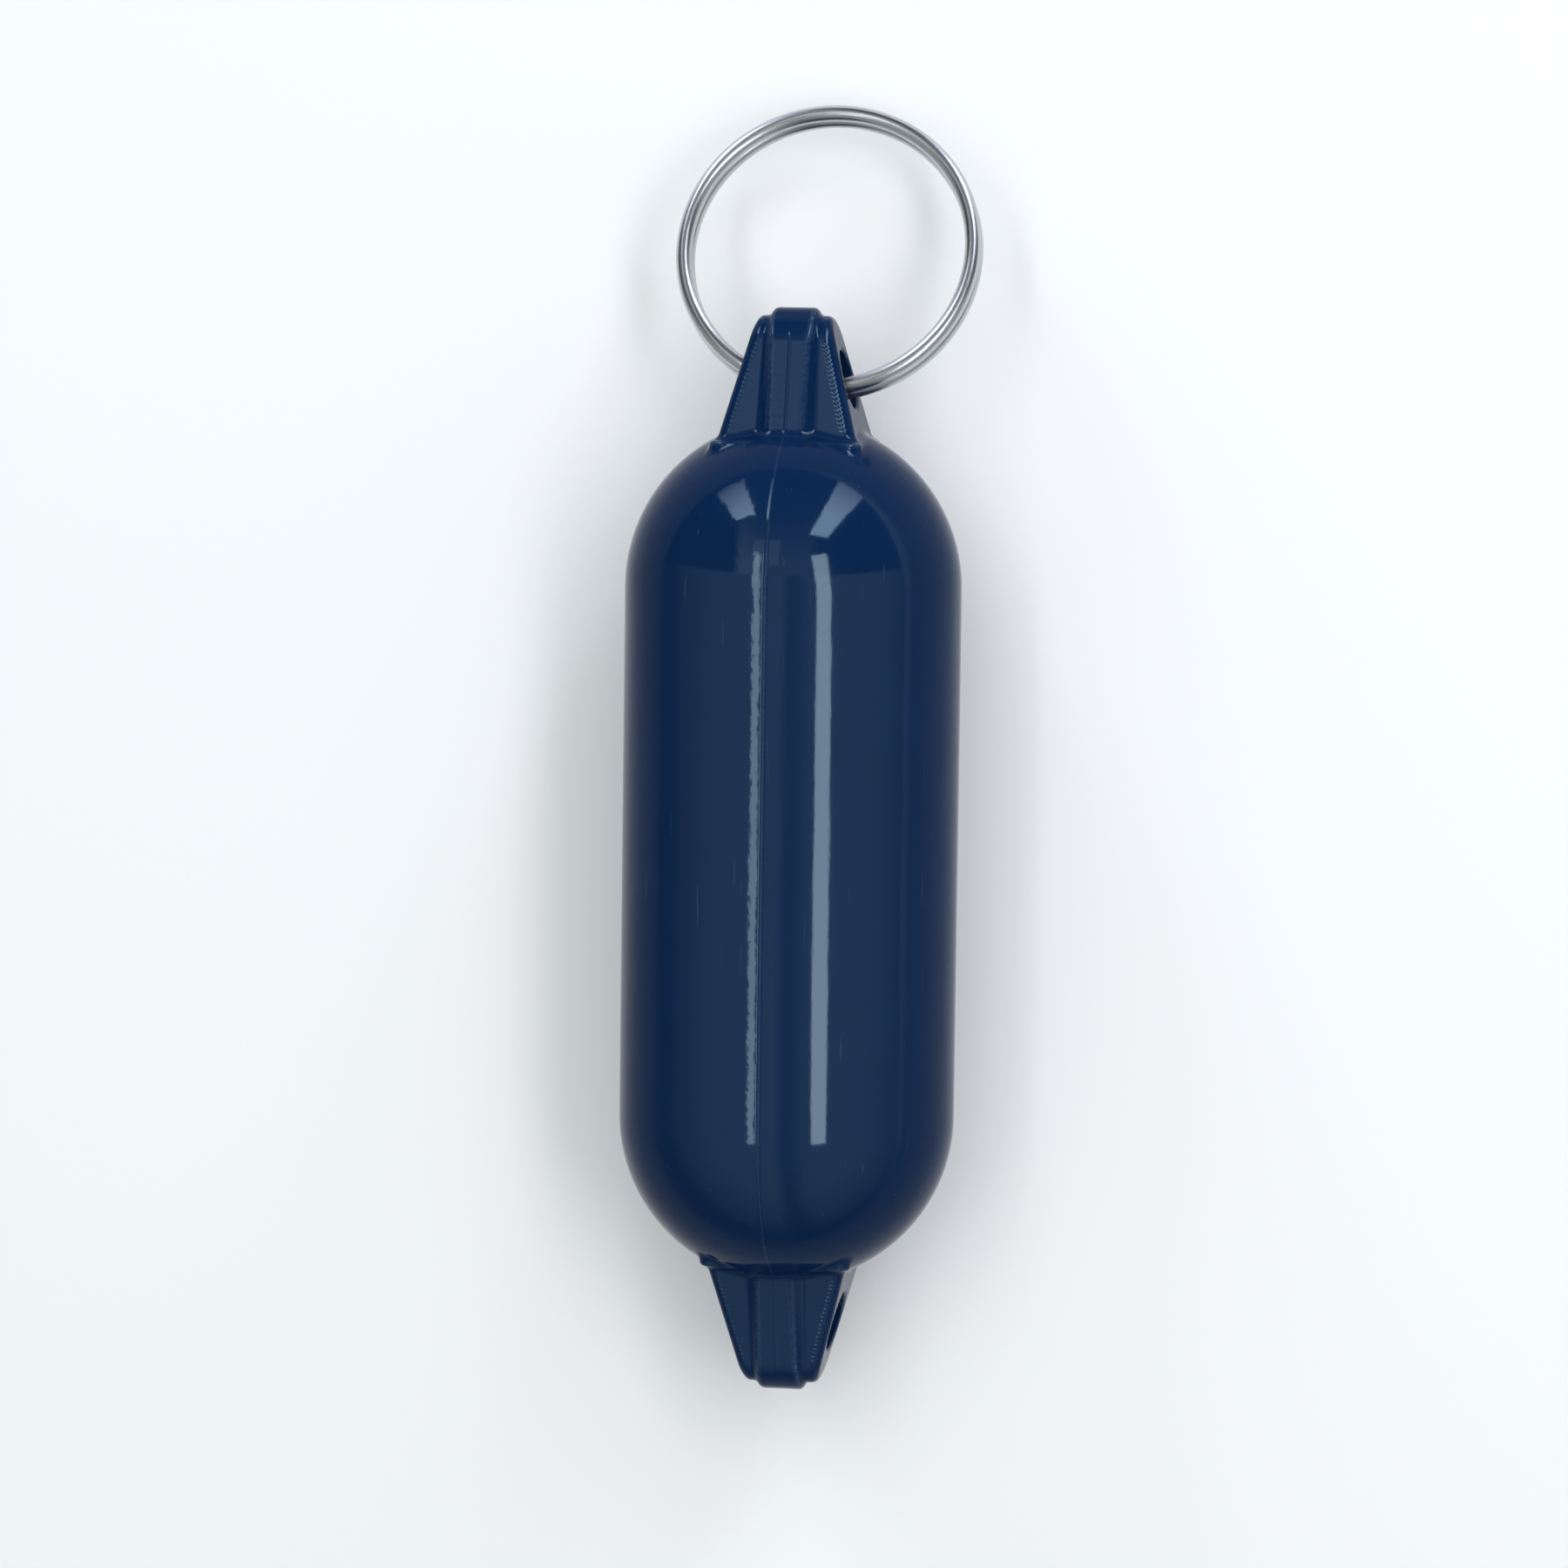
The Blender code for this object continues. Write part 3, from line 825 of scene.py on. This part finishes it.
def steel_material(settings):
    """Drawn stainless spring wire with its faint lines."""
    material, tree, output = blank_material("stainless spring wire, drawn and polished")
    along = add_node(tree, "ShaderNodeUVMap", (-1300, 0), uv_map="UVMap")
    lines = add_node(
        tree, "ShaderNodeMapping", (-1100, 0), {"Vector": along.outputs[0], "Scale": DIE_LINES})
    streaks = add_node(
        tree, "ShaderNodeTexNoise", (-850, 0),
        {"Vector": lines.outputs[0], "Scale": 1.0, "Detail": 3.0, "Roughness": 0.6})
    bump = add_node(
        tree, "ShaderNodeBump", (-100, -250),
        {"Strength": 1.0, "Distance": DIE_LINE_HEIGHT, "Height": streaks.outputs["Fac"]})
    roughness = add_node(
        tree, "ShaderNodeMapRange", (-300, 0),
        {"Value": streaks.outputs["Fac"], "From Min": 0.3, "From Max": 0.7,
         "To Min": settings.roughness * 0.8, "To Max": settings.roughness * 1.3})
    shader = add_node(
        tree, "ShaderNodeBsdfPrincipled", (500, 0),
        {"Base Color": (*settings.colour, 1.0), "Metallic": 1.0, "Roughness": roughness.outputs[0],
         "Normal": bump.outputs[0]})
    tree.links.new(shader.outputs[0], output.inputs["Surface"])
    return material


# Uncoated white paper, pressed without gloss. It scatters light evenly, so it shows soft shadows
# and mirrors nothing.


def floor_material(settings):
    """Matt pale paper."""
    material, tree, output = blank_material("matt white paper")
    shader = add_node(
        tree, "ShaderNodeBsdfPrincipled", (300, 0),
        {"Base Color": (*settings.floor_colour, 1.0), "Roughness": 1.0, "Specular IOR Level": 0.0})
    tree.links.new(shader.outputs[0], output.inputs["Surface"])
    return material


# Form of the ring


def wind_wire(wire, settings):
    """Rolls a flat grid into a wire and winds it in two turns that change places at a crossing."""
    coil_radius = settings.outer_radius - settings.wire_radius
    coil_offset = settings.wire_radius + settings.turn_gap / 2
    centre_distance = coil_radius - settings.seat
    to_crossing = math.atan2(-centre_distance, -settings.sideways)
    first = settings.crossing / 2 + settings.end_gap
    last = 4 * math.pi - first
    to_world = Matrix.Translation(hinge) @ Matrix.Rotation(-settings.lean, 4, "X")

    # A cut end's rows: the share of the wire's radius, and how far along the wire each lies
    flat_share = 1 - settings.end_rounding / settings.wire_radius
    cap = [(0.0, 0.0), (0.45, 0.0), (flat_share, 0.0)]
    for i in range(1, END_ROWS + 1):
        turn = math.pi / 2 * i / END_ROWS
        share = flat_share + (1 - flat_share) * math.sin(turn)
        cap.append((share, settings.end_rounding * (1 - math.cos(turn))))
    cap_turn = cap[-1][1] / coil_radius

    def row_place(row):
        """A row's angle on the path from the crossing's middle, and its share of the wire's radius."""
        if row < len(cap):
            share, along = cap[row]
            return first + along / coil_radius, share
        if row > WIRE_ROWS - len(cap):
            share, along = cap[WIRE_ROWS - row]
            return last - along / coil_radius, share
        inner_start = first + cap_turn
        inner_stop = last - cap_turn
        share = (row - len(cap) + 1) / (WIRE_ROWS - 2 * len(cap) + 2)
        return inner_start + (inner_stop - inner_start) * share, 1.0

    points = np.zeros(len(wire.data.vertices) * 3)
    wire.data.vertices.foreach_get("co", points)
    points = points.reshape(-1, 3)
    columns = np.rint((points[:, 0] / (2 * points[:, 0].max()) + 0.5) * WIRE_COLUMNS).astype(int)
    rows = np.rint((points[:, 1] / (2 * points[:, 1].max()) + 0.5) * WIRE_ROWS).astype(int)
    for i, (column, row) in enumerate(zip(columns, rows)):
        turn, share = row_place(row)
        angle = to_crossing + turn
        outward = Vector((math.cos(angle), math.sin(angle), 0.0))
        middle = Vector((settings.sideways, centre_distance, 0.0)) + coil_radius * outward
        from_crossing = turn - 2 * math.pi
        if abs(from_crossing) >= settings.crossing / 2:
            side = math.copysign(1.0, from_crossing)
        else:
            side = math.sin(math.pi * from_crossing / settings.crossing)
        middle.z = coil_offset * side
        around = 2 * math.pi * column / WIRE_COLUMNS
        radius = settings.wire_radius * share
        rise = Vector((0.0, 0.0, radius * math.sin(around)))
        points[i] = to_world @ (middle + radius * math.cos(around) * outward + rise)
    wire.data.vertices.foreach_set("co", points.ravel())
    wire.data.update()


# Operators


class KEYCHAIN_OT_float(bpy.types.Operator):
    """Models the one-piece float with its two pierced eyes"""

    bl_idname = "keychain.float_moulding"
    bl_label = "Float"

    def execute(self, context):
        sizes = context.scene.keychain_float
        form = FloatForm(sizes)
        deselect_all()
        bpy.ops.mesh.primitive_uv_sphere_add(
            segments=COLUMNS, ring_count=2 * (ROWS_PER_END + 1), radius=1.0,
            rotation=(-math.pi / 2, 0.0, 0.0))
        moulding = added("float_moulding")
        apply_place(moulding)
        shape_float(moulding, form)
        drill_holes(moulding, sizes.hole_radius)
        mark_edge_wear_and_sheen(moulding, form)
        select_only(moulding)
        bpy.ops.object.shade_smooth_by_angle(angle=math.radians(38.0))
        moulding.data.materials.clear()
        moulding.data.materials.append(pvc_material(sizes))
        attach(moulding, "float")
        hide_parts("float_body")
        return {"FINISHED"}


class KEYCHAIN_OT_ring(bpy.types.Operator):
    """Winds the split ring from one length of wire"""

    bl_idname = "keychain.split_ring"
    bl_label = "Split ring"

    def execute(self, context):
        settings = context.scene.keychain_ring
        deselect_all()
        bpy.ops.mesh.primitive_grid_add(x_subdivisions=WIRE_COLUMNS, y_subdivisions=WIRE_ROWS, size=1.0)
        wire = added("ring_wire")
        wind_wire(wire, settings)
        select_only(wire)
        bpy.ops.object.mode_set(mode="EDIT")
        bpy.ops.mesh.select_all(action="SELECT")
        bpy.ops.mesh.remove_doubles(threshold=1e-6)
        bpy.ops.mesh.normals_make_consistent(inside=False)
        bpy.ops.object.mode_set(mode="OBJECT")
        bpy.ops.object.shade_smooth_by_angle(angle=math.radians(50.0))
        wire.data.materials.append(steel_material(settings))
        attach(wire, "ring")
        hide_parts("split_ring")
        return {"FINISHED"}


class KEYCHAIN_OT_stage(bpy.types.Operator):
    """Lays the pale floor, hangs the soft boxes and sets the camera over the float"""

    bl_idname = "keychain.stage"
    bl_label = "Stage"

    def execute(self, context):
        settings = context.scene.keychain_stage
        deselect_all()
        bpy.ops.mesh.primitive_plane_add(size=settings.floor_size)
        floor = added("floor")
        floor.data.materials.append(floor_material(settings))
        right, up, back = camera_directions(settings)
        centre = Vector((0.0, 0.0, axis_height))
        place_camera(settings, centre, right, up, back)
        place_soft_boxes(settings, centre, right, up, back)
        set_world()
        context.scene.view_settings.view_transform = "Standard"
        return {"FINISHED"}


def camera_directions(settings):
    """The picture's right and up directions, and the direction from the float to the camera."""
    turn = settings.turn_angle
    rise = settings.rise_angle
    roll = settings.roll_angle
    back = Vector((math.sin(turn), 0.0, math.cos(turn)))
    right = Vector((math.cos(turn), 0.0, -math.sin(turn)))
    up = Vector((0.0, 1.0, 0.0))
    raised_back = back * math.cos(rise) + up * math.sin(rise)
    raised_up = up * math.cos(rise) - back * math.sin(rise)
    rolled_right = math.cos(roll) * right + math.sin(roll) * raised_up
    rolled_up = math.cos(roll) * raised_up - math.sin(roll) * right
    return rolled_right, rolled_up, raised_back


def turned_to(right, up, back):
    """A rotation whose X, Y and Z axes are the three directions."""
    return Matrix((right, up, back)).transposed().to_euler()


def place_camera(settings, centre, right, up, back):
    """A long lens that shows the photograph's width at the float's axis."""
    sensor = 36.0
    distance = settings.view_width * settings.lens / sensor
    target = centre + settings.aim_right * right + settings.aim_up * up
    camera_data = bpy.data.cameras.new("camera")
    camera_data.lens = settings.lens
    camera_data.sensor_width = sensor
    camera_data.clip_start = 0.01
    camera = bpy.data.objects.new("camera", camera_data)
    bpy.context.scene.collection.objects.link(camera)
    camera.location = target + distance * back
    camera.rotation_euler = turned_to(right, up, back)
    bpy.context.scene.camera = camera


# Colours of the soft boxes' light

COOL = (0.92, 0.96, 1.0)
ROSY = (0.98, 0.95, 1.0)
BLUISH = (0.80, 0.86, 1.0)
NEUTRAL = (1.0, 1.0, 1.0)

# Each soft box: name, place in metres from the float in the picture's right, up and towards the
# camera, whether it faces the float or straight down the picture, its roll in degrees, width and
# length of its face, share of the lamp level, colour, and whether gloss shows it

SOFT_BOXES = (
    ("left strip", (-0.338, 0.0175, 0.725), "float", 0.0, 0.066, 0.59, 0.78, COOL, True),
    ("right strip", (0.272, 0.0175, 0.752), "float", 6.0, 0.142, 0.59, 1.10, ROSY, True),
    ("upper card", (-0.248, 0.318, 0.712), "float", 0.0, 0.26, 0.24, 0.090, COOL, True),
    ("left overhead box", (-0.545, 0.835, 0.340), "down", -7.0, 0.296, 0.600, 1.10, BLUISH, True),
    ("right overhead box", (0.461, 0.835, 0.640), "down", -3.8, 0.292, 1.130, 1.10, BLUISH, True),
    ("fill", (0.0, 0.35, 1.15), "float", 0.0, 1.3, 1.3, 0.30, NEUTRAL, False),
)


def place_soft_boxes(settings, centre, right, up, back):
    """Area lamps that face the float or down, each as bright as its share of the lamp level."""
    for name, place, faces, roll, width, length, share, colour, glossy in SOFT_BOXES:
        offset = place[0] * right + place[1] * up + place[2] * back
        if faces == "float":
            away = offset.normalized()
            across = up.cross(away).normalized()
        else:
            away = up
            across = right
        along = away.cross(across)
        turn = math.radians(roll)
        turned_across = math.cos(turn) * across + math.sin(turn) * along
        lamp_data = bpy.data.lights.new(name, "AREA")
        lamp_data.shape = "RECTANGLE"
        lamp_data.size = width
        lamp_data.size_y = length
        lamp_data.color = colour
        lamp_data.energy = settings.lamp_radiance * share * math.pi * width * length
        lamp = bpy.data.objects.new(name, lamp_data)
        bpy.context.scene.collection.objects.link(lamp)
        lamp.location = centre + offset
        lamp.rotation_euler = turned_to(turned_across, away.cross(turned_across), away)
        lamp.visible_glossy = glossy


# The studio's dim walls from left to right, as places on the ramp and their grey, and their tint

WALL_LEVELS = (
    (0.0, 0.36),
    (0.425, 0.42),
    (0.500, 0.44),
    (0.560, 0.15),
    (0.600, 0.15),
    (0.660, 0.34),
    (0.75, 0.42),
    (1.0, 0.38),
)
WALL_TINT = (1.0, 1.1, 1.08)

# Beyond the ring's end the studio is black, apart from a patch round the camera and a faint glow
# between the overhead boxes, which fades upwards and is brighter on the left. Each blend is given by
# the part of a direction that it follows, its start and end there, and its level at both.

CEILING_BLENDS = {
    "walls end": ("Y", 0.175, 0.205, 0.0, 1.0),
    "camera patch": ("Z", 0.86, 0.93, 0.01, 0.38),
    "glow fades": ("Y", 0.30, 0.80, 0.40, 0.03),
    "glow leftwards": ("X", -0.45, -0.10, 2.0, 1.0),
}
GLOW_MIDDLE_X = -0.06
GLOW_HALF_WIDTH = (0.38, 0.47)


def set_world():
    """Dim studio walls, with a dark ceiling beyond the ring's end."""
    world = bpy.data.worlds.new("studio")
    bpy.context.scene.world = world
    world.use_nodes = True
    tree = world.node_tree
    tree.nodes.clear()
    direction = add_node(tree, "ShaderNodeTexCoord", (-1000, 0)).outputs["Generated"]
    parts = add_node(tree, "ShaderNodeSeparateXYZ", (-800, 0), {"Vector": direction})
    from_left = add_node(
        tree, "ShaderNodeMapRange", (-600, 300),
        {"Value": parts.outputs["X"], "From Min": -1.0, "From Max": 1.0})
    walls = add_node(tree, "ShaderNodeValToRGB", (-400, 300), {"Fac": from_left.outputs[0]})
    ramp = walls.color_ramp
    for place, _ in WALL_LEVELS[1:-1]:
        ramp.elements.new(place)
    for element, (place, level) in zip(ramp.elements, WALL_LEVELS):
        element.position = place
        element.color = (*[part * level for part in WALL_TINT], 1.0)
    blends = {}
    for i, (name, (part, start, end, first, last)) in enumerate(CEILING_BLENDS.items()):
        made = add_node(
            tree, "ShaderNodeMapRange", (-600, -250 * i),
            {"Value": parts.outputs[part], "From Min": start, "From Max": end,
             "To Min": first, "To Max": last})
        blends[name] = made.outputs[0]
    from_middle = add_node(
        tree, "ShaderNodeMath", (-600, -1000), {0: parts.outputs["X"], 1: GLOW_MIDDLE_X},
        operation="SUBTRACT")
    sideways = add_node(
        tree, "ShaderNodeMath", (-500, -1000), {0: from_middle.outputs[0]}, operation="ABSOLUTE")
    window = add_node(
        tree, "ShaderNodeMapRange", (-400, -1000),
        {"Value": sideways.outputs[0], "From Min": GLOW_HALF_WIDTH[0], "From Max": GLOW_HALF_WIDTH[1],
         "To Min": 1.0, "To Max": 0.0})
    faded = add_node(
        tree, "ShaderNodeMath", (-300, -800), {0: window.outputs[0], 1: blends["glow fades"]},
        operation="MULTIPLY")
    glow = add_node(
        tree, "ShaderNodeMath", (-200, -600), {0: faded.outputs[0], 1: blends["glow leftwards"]},
        operation="MULTIPLY")
    ceiling = add_node(
        tree, "ShaderNodeMath", (-200, -300), {0: blends["camera patch"], 1: glow.outputs[0]},
        operation="MAXIMUM")
    level = add_node(
        tree, "ShaderNodeMixRGB", (-100, 0),
        {"Fac": blends["walls end"], "Color1": walls.outputs[0], "Color2": ceiling.outputs[0]})
    light = add_node(tree, "ShaderNodeBackground", (100, 0), {"Color": level.outputs[0], "Strength": 1.0})
    output = add_node(tree, "ShaderNodeOutputWorld", (300, 0))
    tree.links.new(light.outputs[0], output.inputs["Surface"])


class KEYCHAIN_PT_panel(bpy.types.Panel):
    """Lists the pieces and their sizes"""

    bl_idname = "KEYCHAIN_PT_panel"
    bl_label = "Floating keychain"
    bl_space_type = "VIEW_3D"
    bl_region_type = "UI"
    bl_category = "Keychain"

    def draw(self, context):
        layout = self.layout
        groups = (
            (context.scene.keychain_float, KEYCHAIN_OT_float),
            (context.scene.keychain_ring, KEYCHAIN_OT_ring),
            (context.scene.keychain_stage, KEYCHAIN_OT_stage),
        )
        for group, operator in groups:
            column = layout.column(align=True)
            for name in group.bl_rna.properties.keys():
                if name not in ("rna_type", "name"):
                    column.prop(group, name)
            column.operator(operator.bl_idname)
            layout.separator()


CLASSES = (
    FloatSettings,
    RingSettings,
    StageSettings,
    KEYCHAIN_OT_float,
    KEYCHAIN_OT_ring,
    KEYCHAIN_OT_stage,
    KEYCHAIN_PT_panel,
)


def register():
    for item in CLASSES:
        bpy.utils.register_class(item)
    bpy.types.Scene.keychain_float = PointerProperty(type=FloatSettings)
    bpy.types.Scene.keychain_ring = PointerProperty(type=RingSettings)
    bpy.types.Scene.keychain_stage = PointerProperty(type=StageSettings)


def unregister():
    del bpy.types.Scene.keychain_stage
    del bpy.types.Scene.keychain_ring
    del bpy.types.Scene.keychain_float
    for item in reversed(CLASSES):
        bpy.utils.unregister_class(item)


def main():
    register()
    bpy.ops.keychain.stage()
    bpy.ops.keychain.float_moulding()
    bpy.ops.keychain.split_ring()


if __name__ == "__main__":
    main()
